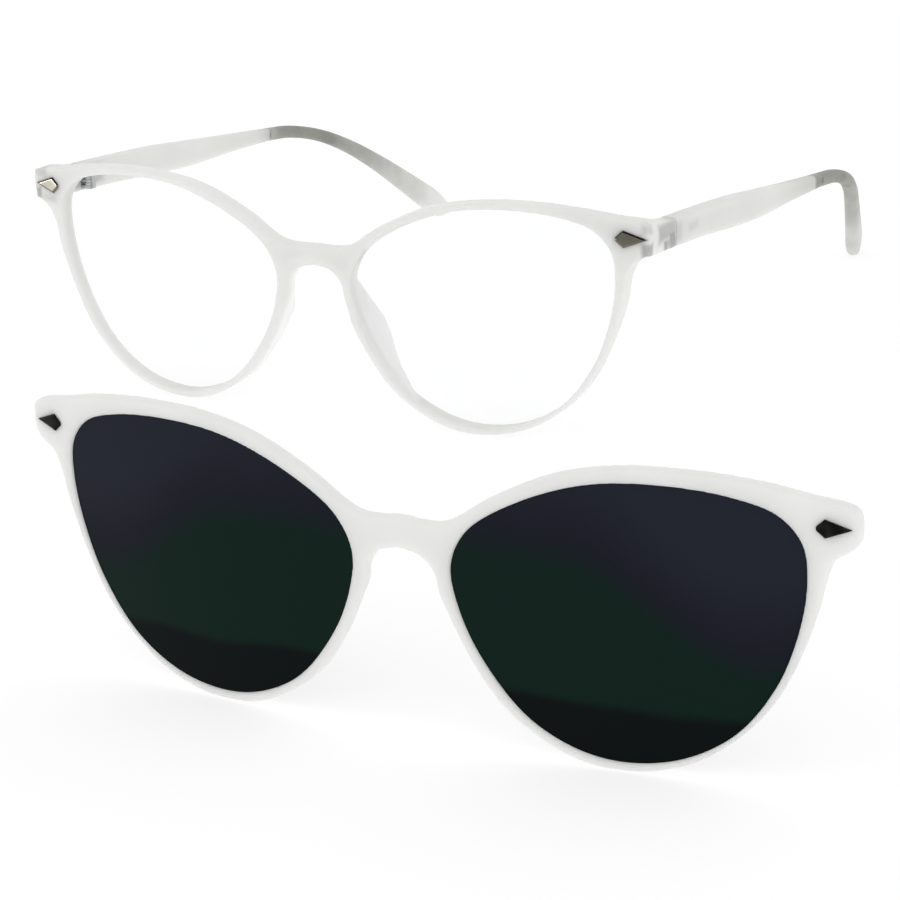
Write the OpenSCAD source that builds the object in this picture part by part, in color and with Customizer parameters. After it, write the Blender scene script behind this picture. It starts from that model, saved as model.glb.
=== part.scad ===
// Cat eye eyeglasses with a magnetic sun clip-on.
// Frame: X across the face, +Y from the front towards the ears, +Z up, in millimetres.
// The origin is the middle of the bridge at lens-centre height, on the front's foremost surface.
// Left and right are the wearer's own: the left side is at +X.

/* [Front] */
// Distance from the middle of the bridge to each lens centre
lens_centre_x = 35; // [34:0.5:36]
// Radius of the front's wrap around the face
wrap_r = 350; // [300:10:450]
// Thickness of the front from its face to its back
front_t = 3.7; // [3.4:0.1:4.2]
// How much slimmer the front's rims are than the clip-on's, above and at the sides
front_trim = 0.7; // [0.4:0.1:0.8]
// Height of the saddle's crown over the lens centres
saddle_z = 6.5; // [6:0.1:7]
// Height of the flats under rims and tips, where the glasses and the clip-on stand
rest_z = -23.5; // [-23.5:0.05:-23.2]

/* [Lenses] */
// Thickness of the clear lenses
lens_t = 1.6; // [1.2:0.1:1.8]
// How deep each lens sits in the groove of its rim
groove_depth = 0.6; // [0.4:0.1:0.8]
// Distance from the face of the front to the groove
groove_set_back = 1.2; // [1:0.1:1.4]
// Play between a part and the pocket or groove that holds it
seat_play = 0.05; // [0.02:0.01:0.08]

/* [Nose pads] */
// Outward splay of the moulded nose pads in degrees
pad_splay = 12; // [8:1:16]
// How far back the pads reach at their deepest
pad_back_y = 7.9; // [7.4:0.1:8.6]

/* [Hinges] */
// Inner face of the endpiece and of the temple
side_inner_x = 64.3; // [64:0.1:64.6]
// Outer face of the endpiece and of the temple
side_outer_x = 67.9; // [67.6:0.1:67.9]
// Seam between endpiece and temple, measured from the face
seam_y = 18; // [17:0.5:19]
// Play at the seam when the temple is open
seam_play = 0.1; // [0.05:0.05:0.2]
// Outer radius of a hinge knuckle
knuckle_r = 1.2; // [1.1:0.1:1.3]
// Number of knuckles, the first, third and fifth of them on the front
knuckle_count = 5; // [3:2:5]
// Radius of the hinge screw's shank
screw_r = 0.5; // [0.4:0.05:0.55]
// Radial running clearance of the shank in the knuckles
screw_play = 0.05; // [0.02:0.01:0.08]
// Height of the hinge's middle over the lens centres
hinge_z = 14; // [13.8:0.1:14.4]
// Plastic that is left over a hinge leaf on the inner face
leaf_cover = 0.6; // [0.4:0.1:0.8]

/* [Rivets and magnets] */
// Length of a kite rivet on the front
kite_l = 6; // [5:0.1:6.2]
// Height of a kite rivet on the front
kite_h = 3.2; // [2.6:0.1:3.6]
// Length of a kite rivet on the clip-on
clip_kite_l = 4.9; // [4.2:0.1:5.2]
// Height of a kite rivet on the clip-on
clip_kite_h = 2.7; // [2.2:0.1:3]
// How far a rivet stands proud
kite_proud = 0.25; // [0.1:0.05:0.3]
// Radius of the magnets
magnet_r = 1.3; // [1:0.1:1.4]
// Thickness of the magnets
magnet_t = 1; // [0.8:0.1:1]

/* [Temples] */
// Distance from the face to where the rubber tip begins
tip_start_y = 88; // [84:1:90]
// Play around the temple's tongue inside the tip
tongue_play = 0.05; // [0.02:0.01:0.08]

/* [Clip-on] */
// Thickness of the clip-on
clip_t = 2.2; // [2:0.1:2.6]
// Gap between the front's face and the back of the clip-on when it is attached
clip_gap = 0.5; // [0.4:0.05:0.8]
// Thickness of the tinted lenses
clip_lens_t = 1.1; // [0.9:0.1:1.2]
// Distance from the face of the clip-on to its groove
clip_groove_set_back = 0.55; // [0.5:0.05:0.6]
// Height of the clip-on's saddle over the lens centres
clip_saddle_z = 6.2; // [6:0.1:7]
// Sideways distance of the resting clip-on from its place on the front
clip_rest_x = 90; // [0:5:100]
// Forward distance of the resting clip-on from its place on the front
clip_rest_y = -120; // [-150:5:-100]

/* [Hidden] */
$fn = 48;

front_colour = [0.9, 0.9, 0.89, 0.9];
clear_colour = [0.93, 0.96, 0.97, 0.25];
tint_colour = [0.05, 0.12, 0.1, 0.92];
rubber_colour = [0.5, 0.51, 0.47];
steel_colour = [0.62, 0.63, 0.64];
gunmetal_colour = [0.42, 0.41, 0.38];
black_colour = [0.08, 0.08, 0.08];
magnet_colour = [0.72, 0.72, 0.74];

// Steps of each curve between two knots
curve_steps = 6;
// Half of the tall extrusions that outlines are cut from
reach = 40;
// Small overlap that makes unions and cuts clean
nick = 0.02;

hinge_x = side_inner_x - knuckle_r - 0.1;
hinge_y = seam_y + seam_play / 2;
knuckle_gap = 0.05;
knuckle_h = 0.6;
hinge_h = knuckle_count * knuckle_h + (knuckle_count - 1) * knuckle_gap;
leaf_t = 1;
leaf_h = 2.8;
leaf_set_back = 0.5;
front_leaf_l = 4.6;
temple_leaf_l = 6;
screw_head_r = 0.9;
screw_head_h = 0.45;
screw_slot_w = 0.25;
screw_tail = 0.2;
kite_t = 0.8;
clip_kite_t = 0.7;
kite_x = 64.5;
kite_z = 15.9;
// Half height of the cut that blunts a kite's end towards the lens
kite_blunt = 0.25;
// The magnet lies behind the tall part of the kite
magnet_x = kite_x - kite_l / 4;
// How far a kite's pocket is cut out in front of its floor
pocket_reach = 5;
// Depth inside the front where each nose pad begins
pad_root = 2;
// Depth about which a pad is splayed
pad_pivot_y = 3;
// Height where the corner's gusset behind the front begins, and its height
gusset_z = 12.8;
gusset_h = 5.8;
clip_face = -clip_gap - clip_t;
clip_groove = clip_face + clip_groove_set_back;

// Opening of the left lens about its own centre, outward and up
opening_knots = [[24.9, 0.5], [26.1, 8], [25.5, 13.3], [22.3, 17.1], [16, 19.2], [6, 20.1],
    [-5, 19.2], [-16, 15.3], [-24.1, 10], [-26.8, 4.6], [-26, -1.5], [-22.5, -9.2], [-15, -17.8],
    [-5, -22], [6, -21.3], [15.2, -16.4], [21.5, -8.3]];

// Outer edge of the left half of a front, from the top of the bridge round to the saddle
function half_edge(saddle, trim) = [[0, 10.9 - 0.7 * trim], [5.5, 10.6 - trim / 4],
    [8.2, 11.3 - trim / 4], [15, 15.6 - trim / 4], [25, 20.2 - 0.8 * trim], [35, 22.2 - 1.3 * trim],
    [45, 22.4 - 1.3 * trim], [55, 21.5 - 1.3 * trim], [61.5, 20.2 - 0.9 * trim],
    [67.2 - trim / 2, 19 - trim / 4], [68.2 - trim / 2, 18.1 - trim / 4], [68.2 - trim / 2, 13.9],
    [67.2 - trim / 2, 12.7], [64.8 - trim / 4, 11.1], [63.6 - trim / 2, 8.5], [62.3, 3.5], [59.5, -4.2],
    [55.6 + trim / 4, -11.5], [50.5 + trim / 2, -17], [44 + trim / 2, -21.3], [35, -23.6], [27, -22.8],
    [20.2, -19.6], [15, -15.4], [10.2, -8.5], [7.8, -3.6], [6.2, 0], [5.5, saddle - 3],
    [3.4, saddle - 0.8], [0, saddle]];

// Middle line of the left temple from the seam: across, back, height, half height, half thickness
blade_knots = [[66.1, seam_y + seam_play, 14.4, 2.75, 1.75], [66.1, 31, 13.1, 2.8, 1.7],
    [66.1, 45, 11.4, 2.95, 1.6], [66.1, 58, 9.8, 2.65, 1.5], [66, 72, 8.45, 1.95, 1.35],
    [65.7, tip_start_y, 6.8, 1.35, 1.2]];
// The same for the tip, down to its rounded end
tip_knots = [[65.7, tip_start_y, 6.8, 1.4, 1.35], [65.2, 97, 5.4, 1.35, 1.4], [63.7, 107, 2.3, 1.35, 1.4],
    [61.4, 115.4, -2.1, 1.5, 1.4], [58.6, 123, -7.6, 1.85, 1.4], [55.5, 131, -14.3, 2.4, 1.4],
    [53, 137.4, -19.9, 2.7, 1.4], [51.9, 140.2, -22.4, 1.9, 1.3], [51.6, 140.9, -23, 0.8, 1.2]];
// Number of tip knots that the temple's tongue runs along
tongue_knots = 3;
tongue_half_h = 0.6;
tongue_half_t = 0.6;

function mix(a, b, s) = a + (b - a) * s;
function gap(a, b) = sqrt(norm(b - a));

// Point at share s between b and c of a centripetal curve through four knots
function curve_point(a, b, c, d, s) =
    let(t1 = gap(a, b), t2 = t1 + gap(b, c), t3 = t2 + gap(c, d), t = mix(t1, t2, s))
    let(ab = mix(a, b, t / t1), bc = mix(b, c, (t - t1) / (t2 - t1)), cd = mix(c, d, (t - t2) / (t3 - t2)))
    let(abc = mix(ab, bc, t / t2), bcd = mix(bc, cd, (t - t1) / (t3 - t1)))
    mix(abc, bcd, (t - t1) / (t2 - t1));

// Smooth closed curve through all the knots
function closed_curve(k) = let(n = len(k))
    [for (i = [0:n - 1]) for (j = [0:curve_steps - 1])
        curve_point(k[(i + n - 1) % n], k[i], k[(i + 1) % n], k[(i + 2) % n], j / curve_steps)];

// Smooth open curve through all the knots, with its ends run straight
function open_curve(k) = let(n = len(k))
    let(p = concat([2 * k[0] - k[1]], k, [2 * k[n - 1] - k[n - 2]]))
    concat([for (i = [0:n - 2]) for (j = [0:curve_steps - 1])
        curve_point(p[i], p[i + 1], p[i + 2], p[i + 3], j / curve_steps)], [k[n - 1]]);

// Points moved outward from a closed counter-clockwise curve
function grown(pts, w) = let(n = len(pts))
    [for (i = [0:n - 1]) let(d = pts[(i + 1) % n] - pts[(i + n - 1) % n])
        pts[i] + w * [d[1], -d[0]] / norm(d)];

function turned_back(pts) = let(n = len(pts)) [for (i = [n - 1:-1:0]) pts[i]];

// Closed counter-clockwise outline from its left half and the mirror image of that
function both_halves(half) = let(n = len(half))
    concat([for (p = half) [-p[0], p[1]]], [for (i = [n - 2:-1:1]) half[i]]);

// Strip of half width h on both sides of a flat curve, all three given per point
function strip(mid, h) = let(n = len(mid))
    let(away = [for (i = [0:n - 1]) let(d = mid[min(i + 1, n - 1)] - mid[max(i - 1, 0)])
        [-d[1], d[0]] / norm(d) * h[i]])
    concat([for (i = [0:n - 1]) mid[i] + away[i]], turned_back([for (i = [0:n - 1]) mid[i] - away[i]]));

// Draws for the left side, or its mirror image for the right
module on_side(side) {
    if (side > 0) children();
    else mirror([1, 0, 0]) children();
}

// A wall that wraps round the face, from a depth near the face to a depth behind it
module wrapped_wall(near, far) {
    translate([0, wrap_r, -reach]) difference() {
        cylinder(r = wrap_r - near, h = 2 * reach, $fn = 180);
        translate([0, 0, -1]) cylinder(r = wrap_r - far, h = 2 * reach + 2, $fn = 180);
    }
}

// An outline seen from the front, run from before the face to behind it
module from_front(pts) {
    rotate([90, 0, 0]) translate([0, 0, -reach]) linear_extrude(2 * reach) polygon(pts);
}

// An outline of distance back and height, run across from x0 to x1
module from_side(pts, x0, x1) {
    translate([x0, 0, 0]) rotate([90, 0, 90]) linear_extrude(x1 - x0) polygon(pts);
}

// Left lens opening, grown by w
module opening(w) {
    pts = grown(closed_curve(opening_knots), w);
    from_front([for (p = pts) [p[0] + lens_centre_x, p[1]]]);
}

// A front's wall, from its outline, with its lowest edges cut flat
module front_wall(half, near, far) {
    intersection() {
        wrapped_wall(near, far);
        from_front(both_halves(open_curve(half)));
        translate([-2 * reach, -reach, rest_z]) cube([4 * reach, 2 * reach, 2 * reach]);
    }
}

// What is cut away for the left lens: its opening, and the groove that it snaps into
module lens_seat(near, far) {
    opening(0);
    intersection() {
        wrapped_wall(near, far);
        opening(groove_depth);
    }
}

// A lens that fills its groove
module lens_blank(near, far) {
    intersection() {
        wrapped_wall(near + seat_play, far - seat_play);
        opening(groove_depth - seat_play);
    }
}

// Puts a flat part on the wrapped face at x, with its thickness along the local Y axis
module at_face(x, z, depth) {
    lean = asin(x / wrap_r);
    translate([x, wrap_r - sqrt(wrap_r * wrap_r - x * x), z]) rotate([0, 0, lean])
        translate([0, depth, 0]) children();
}

// Kite plate with its blunt end towards the lens
module kite(l, h, t, grow) {
    pts = [[-l / 2 - grow, kite_blunt], [-l / 4, h / 2 + grow], [l / 2 + 2 * grow, 0],
        [-l / 4, -h / 2 - grow], [-l / 2 - grow, -kite_blunt]];
    translate([0, t, 0]) rotate([90, 0, 0]) linear_extrude(t) polygon(pts);
}

// Round magnet lying against the wall, from the local Y = 0 backwards
module magnet(grow) {
    translate([0, magnet_t + grow, 0]) rotate([90, 0, 0]) cylinder(r = magnet_r + grow, h = magnet_t + grow);
}

// Moulded nose pad behind the nasal rim of the left lens
module nose_pad() {
    pad_front = [[6.4, 2.6], [7.3, -3], [9.8, -8.5], [13.4, -14], [16.6, -17.6], [17.6, -16.8],
        [14.9, -13.2], [11.8, -8.4], [9.8, -3.4], [9, 2.6], [7.8, 3.8]];
    pad_side = [[pad_root, 5.4], [3, 2.8], [4.9, 0], [6.6, -2], [pad_back_y - 0.2, -4.2],
        [pad_back_y, -6.6], [7.2, -10], [6.1, -12.4], [5.2, -14.6], [4.4, -17], [pad_root, -18.6]];
    intersection() {
        translate([0, pad_pivot_y, 0]) rotate([0, 0, -pad_splay]) translate([0, -pad_pivot_y, 0])
            from_front(closed_curve(pad_front));
        from_side(closed_curve(pad_side), 0, reach);
        wrapped_wall(pad_root, 2 * pad_back_y);
    }
}

// Side wall that turns back from the left corner of the front to the seam
module endpiece() {
    wall = [[6.4, 18.7], [10.5, 18.5], [seam_y, 16.95], [seam_y, 11.8], [10, 12.4], [6.4, 12.8]];
    gusset = [[side_inner_x - 1.5, 8.8], [side_inner_x + nick, 8.8], [side_inner_x + nick, 11]];
    from_side(wall, side_inner_x, side_outer_x);
    translate([0, 0, gusset_z]) linear_extrude(gusset_h) polygon(gusset);
}

// Plate of a hinge leaf inside the side wall, from y0 to y1
module leaf_plate(y0, y1, grow) {
    translate([side_inner_x + leaf_cover - grow, y0 - grow, hinge_z - leaf_h / 2 - grow])
        cube([leaf_t + 2 * grow, y1 - y0 + 2 * grow, leaf_h + 2 * grow]);
}

// Notch in the inner face beside the seam, where the knuckles' necks pass through
module neck_notch(y0, y1) {
    translate([side_inner_x - 1, y0, hinge_z - hinge_h / 2 - seat_play])
        cube([1 + leaf_cover + nick, y1 - y0, hinge_h + 2 * seat_play]);
}

// One hinge half: its plate, and its own knuckles with their necks on the axis
module hinge_half(y0, y1, first, back) {
    difference() {
        union() {
            leaf_plate(y0, y1, 0);
            for (i = [first:2:knuckle_count - 1])
                translate([hinge_x, hinge_y, hinge_z - hinge_h / 2 + i * (knuckle_h + knuckle_gap)]) {
                    cylinder(r = knuckle_r, h = knuckle_h);
                    translate([0, back > 0 ? 0 : -knuckle_r, 0])
                        cube([side_inner_x + leaf_cover - hinge_x + nick, knuckle_r, knuckle_h]);
                }
        }
        translate([hinge_x, hinge_y, hinge_z - hinge_h]) cylinder(r = screw_r + screw_play, h = 2 * hinge_h);
    }
}

module front_hinge() {
    hinge_half(hinge_y - leaf_set_back - front_leaf_l, hinge_y - leaf_set_back, 0, -1);
}

module temple_hinge() {
    hinge_half(hinge_y + leaf_set_back, hinge_y + leaf_set_back + temple_leaf_l, 1, 1);
}

module hinge_screw() {
    top = hinge_z + hinge_h / 2;
    translate([hinge_x, hinge_y, 0]) difference() {
        union() {
            translate([0, 0, hinge_z - hinge_h / 2 - screw_tail])
                cylinder(r = screw_r, h = screw_tail + hinge_h + 2 * knuckle_gap);
            translate([0, 0, top + knuckle_gap]) cylinder(r = screw_head_r, h = screw_head_h);
        }
        translate([-reach, -screw_slot_w / 2, top + knuckle_gap + screw_head_h / 2])
            cube([2 * reach, screw_slot_w, screw_head_h]);
    }
}

// Curved bar along a middle line, cut to a side view and a view from above
module curved_bar(mid) {
    side_view = strip([for (p = mid) [p[1], p[2]]], [for (p = mid) p[3]]);
    plan_view = strip([for (p = mid) [p[0], p[1]]], [for (p = mid) p[4]]);
    intersection() {
        from_side(side_view, reach, 2 * reach);
        translate([0, 0, -reach]) linear_extrude(2 * reach) polygon(plan_view);
    }
}

// Tongue that the tip is pushed onto, grown by the play in the tip's socket
module temple_tongue(grow) {
    curved_bar([for (p = open_curve([for (i = [0:tongue_knots - 1]) tip_knots[i]]))
        [p[0], p[1], p[2], tongue_half_h + grow, tongue_half_t + grow]]);
}

module front_frame() {
    color(front_colour) difference() {
        union() {
            front_wall(half_edge(saddle_z, front_trim), 0, front_t);
            for (side = [1, -1]) on_side(side) {
                endpiece();
                nose_pad();
            }
        }
        for (side = [1, -1]) on_side(side) {
            lens_seat(groove_set_back, groove_set_back + lens_t);
            at_face(kite_x, kite_z, -kite_proud - pocket_reach)
                kite(kite_l, kite_h, kite_t + pocket_reach, seat_play);
            at_face(magnet_x, kite_z, kite_t - kite_proud) magnet(seat_play);
            leaf_plate(hinge_y - leaf_set_back - front_leaf_l, hinge_y, seat_play);
            neck_notch(hinge_y - knuckle_r - seat_play, hinge_y);
        }
    }
}

module lens(side) {
    color(clear_colour) on_side(side) lens_blank(groove_set_back, groove_set_back + lens_t);
}

module front_rivet(side) {
    color(gunmetal_colour) on_side(side)
        at_face(kite_x, kite_z, -kite_proud) kite(kite_l, kite_h, kite_t - seat_play, 0);
}

module front_magnet(side) {
    color(magnet_colour) on_side(side)
        at_face(magnet_x, kite_z, kite_t - kite_proud) magnet(0);
}

module temple(side) {
    color(front_colour) on_side(side) {
        difference() {
            curved_bar(open_curve(blade_knots));
            leaf_plate(seam_y, hinge_y + leaf_set_back + temple_leaf_l, seat_play);
            neck_notch(hinge_y, hinge_y + knuckle_r + seat_play);
        }
        temple_tongue(0);
    }
}

module temple_tip(side) {
    color(rubber_colour) on_side(side) difference() {
        intersection() {
            curved_bar(open_curve(tip_knots));
            translate([reach, 0, rest_z]) cube([reach, 5 * reach, 2 * reach]);
        }
        temple_tongue(tongue_play);
    }
}

// Moves the clip-on from its place on the front to where it rests
module clip_place() {
    translate([clip_rest_x, clip_rest_y, 0]) children();
}

module clip_frame() {
    color(front_colour) clip_place() difference() {
        front_wall(half_edge(clip_saddle_z, 0), clip_face, -clip_gap);
        for (side = [1, -1]) on_side(side) {
            lens_seat(clip_groove, clip_groove + clip_lens_t);
            at_face(kite_x, kite_z, clip_face - pocket_reach)
                kite(clip_kite_l, clip_kite_h, clip_kite_t - kite_proud + pocket_reach, seat_play);
            at_face(kite_x, kite_z, -clip_gap - magnet_t) magnet(seat_play);
        }
    }
}

module clip_lens(side) {
    color(tint_colour) clip_place() on_side(side) lens_blank(clip_groove, clip_groove + clip_lens_t);
}

module clip_rivet(side) {
    color(black_colour) clip_place() on_side(side)
        at_face(kite_x, kite_z, clip_face - kite_proud)
            kite(clip_kite_l, clip_kite_h, clip_kite_t - seat_play, 0);
}

module clip_magnet(side) {
    color(magnet_colour) clip_place() on_side(side) at_face(kite_x, kite_z, -clip_gap - magnet_t) magnet(0);
}

front_frame();
lens(1);  // left_lens
lens(-1);  // right_lens
front_rivet(1);  // left_front_rivet
front_rivet(-1);  // right_front_rivet
front_magnet(1);  // left_front_magnet
front_magnet(-1);  // right_front_magnet
color(steel_colour) on_side(1) front_hinge();  // left_front_hinge
color(steel_colour) on_side(-1) front_hinge();  // right_front_hinge
color(steel_colour) on_side(1) hinge_screw();  // left_hinge_screw
color(steel_colour) on_side(-1) hinge_screw();  // right_hinge_screw
color(steel_colour) on_side(1) temple_hinge();  // left_temple_hinge
color(steel_colour) on_side(-1) temple_hinge();  // right_temple_hinge
temple(1);  // left_temple
temple(-1);  // right_temple
temple_tip(1);  // left_temple_tip
temple_tip(-1);  // right_temple_tip
clip_frame();
clip_lens(1);  // clip_left_lens
clip_lens(-1);  // clip_right_lens
clip_rivet(1);  // clip_left_rivet
clip_rivet(-1);  // clip_right_rivet
clip_magnet(1);  // clip_left_magnet
clip_magnet(-1);  // clip_right_magnet
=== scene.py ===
"""Cat eye eyeglasses with a magnetic sun clip-on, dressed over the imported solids.

The frame is the solids' own: X across the face with the wearer's left at +X, +Y from the front
towards the ears, +Z up, and the origin in the middle of the bridge on the front's foremost surface.
Shapes are worked out in millimetres, and a piece is turned into metres when it is made.
"""

import logging
import math
from dataclasses import dataclass
from enum import Enum
from functools import cached_property
from typing import Callable, Iterable, Sequence

import bpy
import numpy as np
from mathutils import Matrix, Vector
from mathutils.geometry import tessellate_polygon


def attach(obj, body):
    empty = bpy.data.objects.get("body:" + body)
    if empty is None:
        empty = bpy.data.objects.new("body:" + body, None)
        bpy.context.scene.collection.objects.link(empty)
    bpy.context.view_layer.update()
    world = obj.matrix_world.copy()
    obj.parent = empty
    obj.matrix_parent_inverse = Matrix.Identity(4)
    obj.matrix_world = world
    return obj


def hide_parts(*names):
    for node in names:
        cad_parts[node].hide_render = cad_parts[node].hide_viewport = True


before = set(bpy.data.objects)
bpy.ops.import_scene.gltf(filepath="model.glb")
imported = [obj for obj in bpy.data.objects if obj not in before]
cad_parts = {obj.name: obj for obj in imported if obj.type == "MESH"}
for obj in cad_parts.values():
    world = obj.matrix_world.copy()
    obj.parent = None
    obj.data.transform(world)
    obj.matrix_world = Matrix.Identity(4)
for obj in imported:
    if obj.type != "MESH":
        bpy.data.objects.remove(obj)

Knots = Sequence[Sequence[float]]
Triple = tuple[float, float, float]
Colour = Triple
Box = tuple[Triple, Triple]
Points = np.ndarray
Thing = bpy.types.Object
Material = bpy.types.Material
Socket = bpy.types.NodeSocket

LOG = logging.getLogger("eyeglasses")
MM = 0.001
FLOOR_Z = -23.5  # what both pieces stand on
LENS_X = 35.0  # middle of a lens, from the middle of the face
AT_FACE: Triple = (0.0, 0.0, 0.0)
CLIP_REST: Triple = (90.0, -120.0, 0.0)  # where the clip-on rests, from its place at the face
WHITE: Colour = (1.0, 1.0, 1.0)


class Side(Enum):
    """A side of the wearer, as the sign of its X."""

    LEFT = 1
    RIGHT = -1

    @property
    def word(self) -> str:
        """The side's name in piece and node names."""
        return self.name.lower()


class Body(Enum):
    """The bodies of the solids' model."""

    FRONT = "front"
    LEFT_TEMPLE = "left_temple"
    RIGHT_TEMPLE = "right_temple"
    CLIP_ON = "clip_on"

    @staticmethod
    def temple(side: Side) -> "Body":
        """The body of that side's temple."""
        return Body.LEFT_TEMPLE if side is Side.LEFT else Body.RIGHT_TEMPLE


class Slot(Enum):
    """Names of material slots for the new pieces."""

    FROSTED_PLASTIC = "frosted_plastic"
    CLEAR_LENS = "clear_lens"
    TINTED_LENS = "tinted_lens"
    GUNMETAL = "gunmetal_rivet"
    BLACK_METAL = "black_rivet"
    RUBBER = "tip_rubber"


def metres(*lengths: float) -> tuple[float, ...]:
    """Lengths in millimetres as metres."""
    return tuple(length * MM for length in lengths)


def at_depth(outline: Points, depth: float) -> Points:
    """An outline across and up, as points across, back and up at a depth."""
    return np.stack([outline[:, 0], np.full(len(outline), depth), outline[:, 1]], axis=1)


def scrapped(thing: Thing) -> None:
    """Removes an object and its mesh.

    Args:
        thing: The object.
    """
    mesh = thing.data
    bpy.data.objects.remove(thing)
    bpy.data.meshes.remove(mesh)


def smooth_curve(knots: Knots, steps: int, closed: bool) -> Points:
    """Runs a centripetal curve through all the knots, as the solids' own curves do.

    Args:
        knots: Points of any dimension.
        steps: Number of steps between two knots.
        closed: Whether the last knot joins the first.

    Returns:
        The points along the curve, one row each.
    """
    k = np.asarray(knots, float)
    if closed:
        p = np.concatenate([k[-1:], k, k[:2]])
    else:
        p = np.concatenate([2 * k[:1] - k[1:2], k, 2 * k[-1:] - k[-2:-1]])
    out = []
    for a, b, c, d in zip(p[:-3], p[1:-2], p[2:-1], p[3:]):
        t1 = math.sqrt(np.linalg.norm(b - a))
        t2 = t1 + math.sqrt(np.linalg.norm(c - b))
        t3 = t2 + math.sqrt(np.linalg.norm(d - c))
        for share in np.arange(steps) / steps:
            t = t1 + (t2 - t1) * share
            ab = a + (b - a) * t / t1
            bc = b + (c - b) * (t - t1) / (t2 - t1)
            cd = c + (d - c) * (t - t2) / (t3 - t2)
            abc = ab + (bc - ab) * t / t2
            bcd = bc + (cd - bc) * (t - t1) / (t3 - t1)
            out.append(abc + (bcd - abc) * (t - t1) / (t2 - t1))
    if not closed:
        out.append(k[-1])
    return np.array(out)


def grown(outline: Points, by: float) -> Points:
    """Moves a closed counter-clockwise outline outward.

    Args:
        outline: Points of the outline, across and up.
        by: Distance, negative to move it inward.

    Returns:
        The moved outline.
    """
    run = np.roll(outline, -1, axis=0) - np.roll(outline, 1, axis=0)
    away = np.stack([run[:, 1], -run[:, 0]], axis=1)
    return outline + by * away / np.linalg.norm(away, axis=1, keepdims=True)


def shrunk_corners(corners: Points, by: float) -> Points:
    """Moves each edge of a convex polygon inward and keeps its corners sharp.

    Args:
        corners: Corners of the polygon.
        by: Distance inward, negative for outward.

    Returns:
        The corners of the new polygon.
    """
    middle = corners.mean(axis=0)
    out = []
    neighbours = np.roll(corners, 1, axis=0), corners, np.roll(corners, -1, axis=0)
    for before, corner, after in zip(*neighbours):
        normals, reaches = [], []
        for a, b in ((before, corner), (corner, after)):
            normal = np.array([b[1] - a[1], a[0] - b[0]])
            normal *= math.copysign(1 / np.linalg.norm(normal), normal @ (middle - a))
            normals.append(normal)
            reaches.append(normal @ a + by)
        out.append(np.linalg.solve(np.array(normals), np.array(reaches)))
    return np.array(out)


def rounded_bar(half_h: float, half_t: float, corner: float, turns: int = 5) -> Points:
    """Cross-section of a flat bar with round corners.

    Args:
        half_h: Half of its height.
        half_t: Half of its thickness.
        corner: Radius of its corners, which is cut down where the bar is thin.
        turns: Number of steps round each corner.

    Returns:
        Its points, up first and across second.
    """
    most = 0.96  # share of half the bar that a corner may take, so that a flat stays between corners
    r = min(corner, most * half_h, most * half_t)
    out = []
    for quarter, (up, across) in enumerate(((1, 1), (-1, 1), (-1, -1), (1, -1))):
        for step in range(turns + 1):
            angle = math.pi / 2 * (quarter + step / turns)
            point = (up * (half_h - r) + r * math.cos(angle), across * (half_t - r) + r * math.sin(angle))
            out.append(point)
    return np.array(out)


def eased(value: Points, start: float, end: float) -> Points:
    """Share from 0 at start to 1 at end, with soft ends."""
    t = np.clip((value - start) / (end - start), 0, 1)
    return t * t * (3 - 2 * t)


@dataclass(frozen=True)
class FaceWrap:
    """How the fronts wrap round the face: a cylinder about an upright axis behind them."""

    radius: float = 350.0

    def bent(self, flat: Points) -> Points:
        """Takes points given as across, depth behind the face, and up, to where they are."""
        x, depth, z = flat.T
        return np.stack([x, self.radius - np.sqrt((self.radius - depth) ** 2 - x * x), z], axis=1)

    def flattened(self, real: Points) -> Points:
        """The reverse of bent()."""
        x, y, z = real.T
        return np.stack([x, self.radius - np.hypot(self.radius - y, x), z], axis=1)

    def at_face(self, local: Points, x: float, z: float) -> Points:
        """Sets a small flat part against the face.

        Args:
            local: Its points, as along, depth and up about its own middle.
            x: Distance of its middle across the face.
            z: Height of its middle.

        Returns:
            The points where they are.
        """
        lean = math.asin(x / self.radius)
        along, depth, up = local.T
        foot = self.radius - math.sqrt(self.radius**2 - x * x)
        across = x + along * math.cos(lean) - depth * math.sin(lean)
        back = foot + along * math.sin(lean) + depth * math.cos(lean)
        return np.stack([across, back, z + up], axis=1)


WRAP = FaceWrap()


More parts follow.
